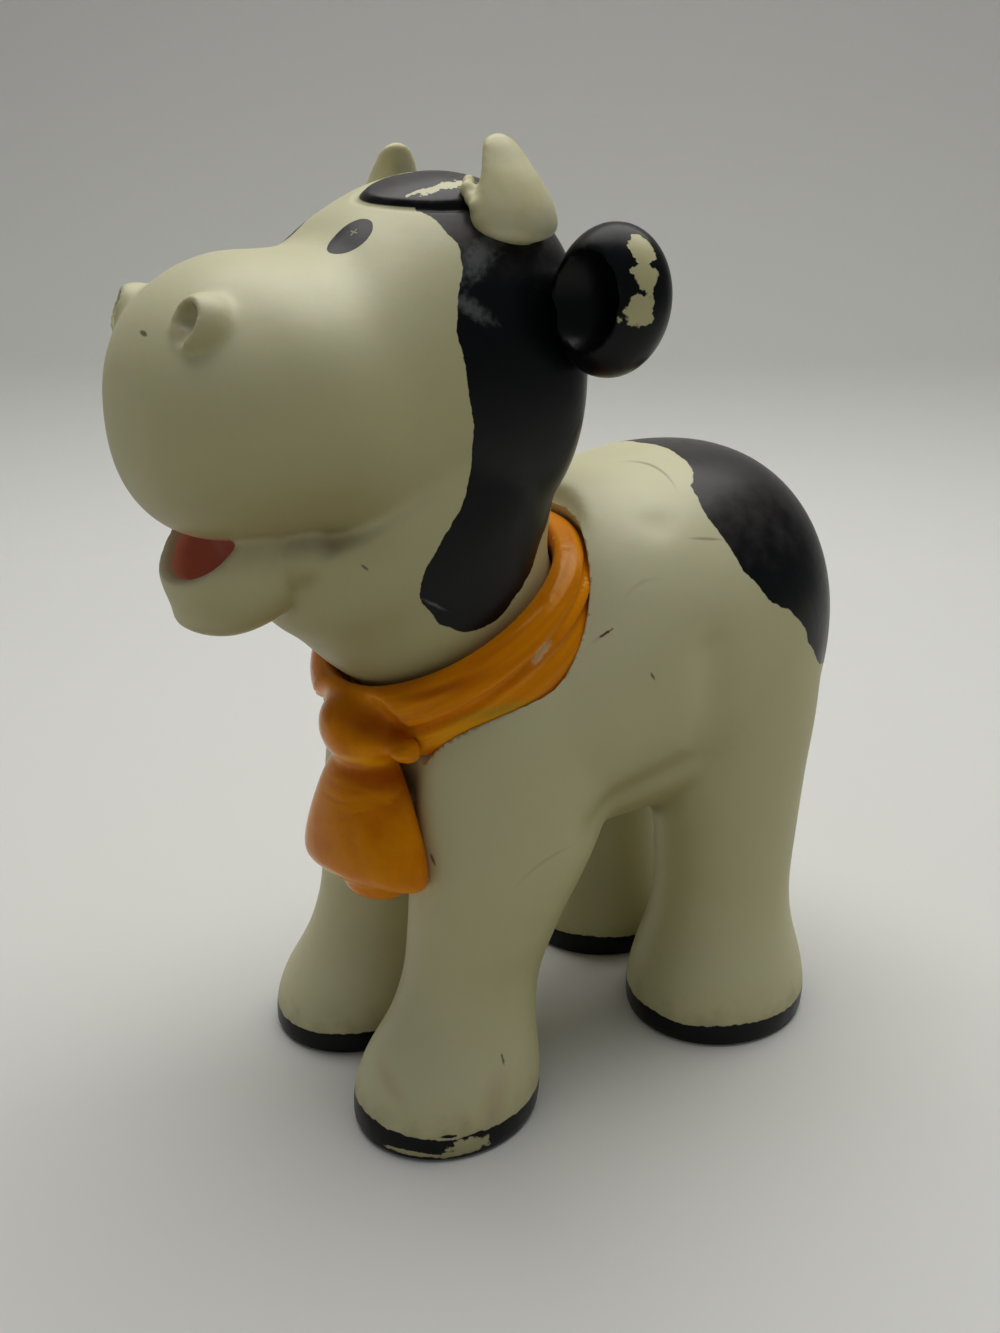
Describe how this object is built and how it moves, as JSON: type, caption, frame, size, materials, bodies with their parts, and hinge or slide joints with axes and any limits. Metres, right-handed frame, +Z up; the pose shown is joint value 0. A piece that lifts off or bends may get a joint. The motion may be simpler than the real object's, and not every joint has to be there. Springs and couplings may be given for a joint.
{
  "type": "toy cow figure",
  "caption": "Hollow soft-vinyl cow figure on bell-shaped feet, with a turning snap-in head, cupped ears, blunt horns, a knotted scarf and a slim tail.",
  "frame": {"origin": "middle of the whole figure's footprint, on the floor under the belly", "axes": "+Z up, -Y the way the cow faces, +X the cow's left side"},
  "size_m": [0.0449, 0.083, 0.0977],
  "materials": {
    "cream_vinyl": "satin soft vinyl, worn",
    "black_vinyl": "satin black paint on soft vinyl, rubbed at the rims",
    "orange_vinyl": "glossy brushed-on paint",
    "horn_vinyl": "satin"
  },
  "bodies": {
    "body": {"body_shell": "cream_vinyl", "scarf": "orange_vinyl", "tail": "cream_vinyl"},
    "head": {"head_shell": "cream_vinyl", "horn_left": "horn_vinyl", "horn_right": "horn_vinyl", "ear_left": "black_vinyl", "ear_right": "black_vinyl"}
  },
  "joints": [
    {"name": "head_turn", "type": "hinge", "parent": "body", "child": "head", "pos_m": [0, -0.00868, 0.0506], "axis": [0, -0.515, 0.8572], "continuous": true}
  ]
}
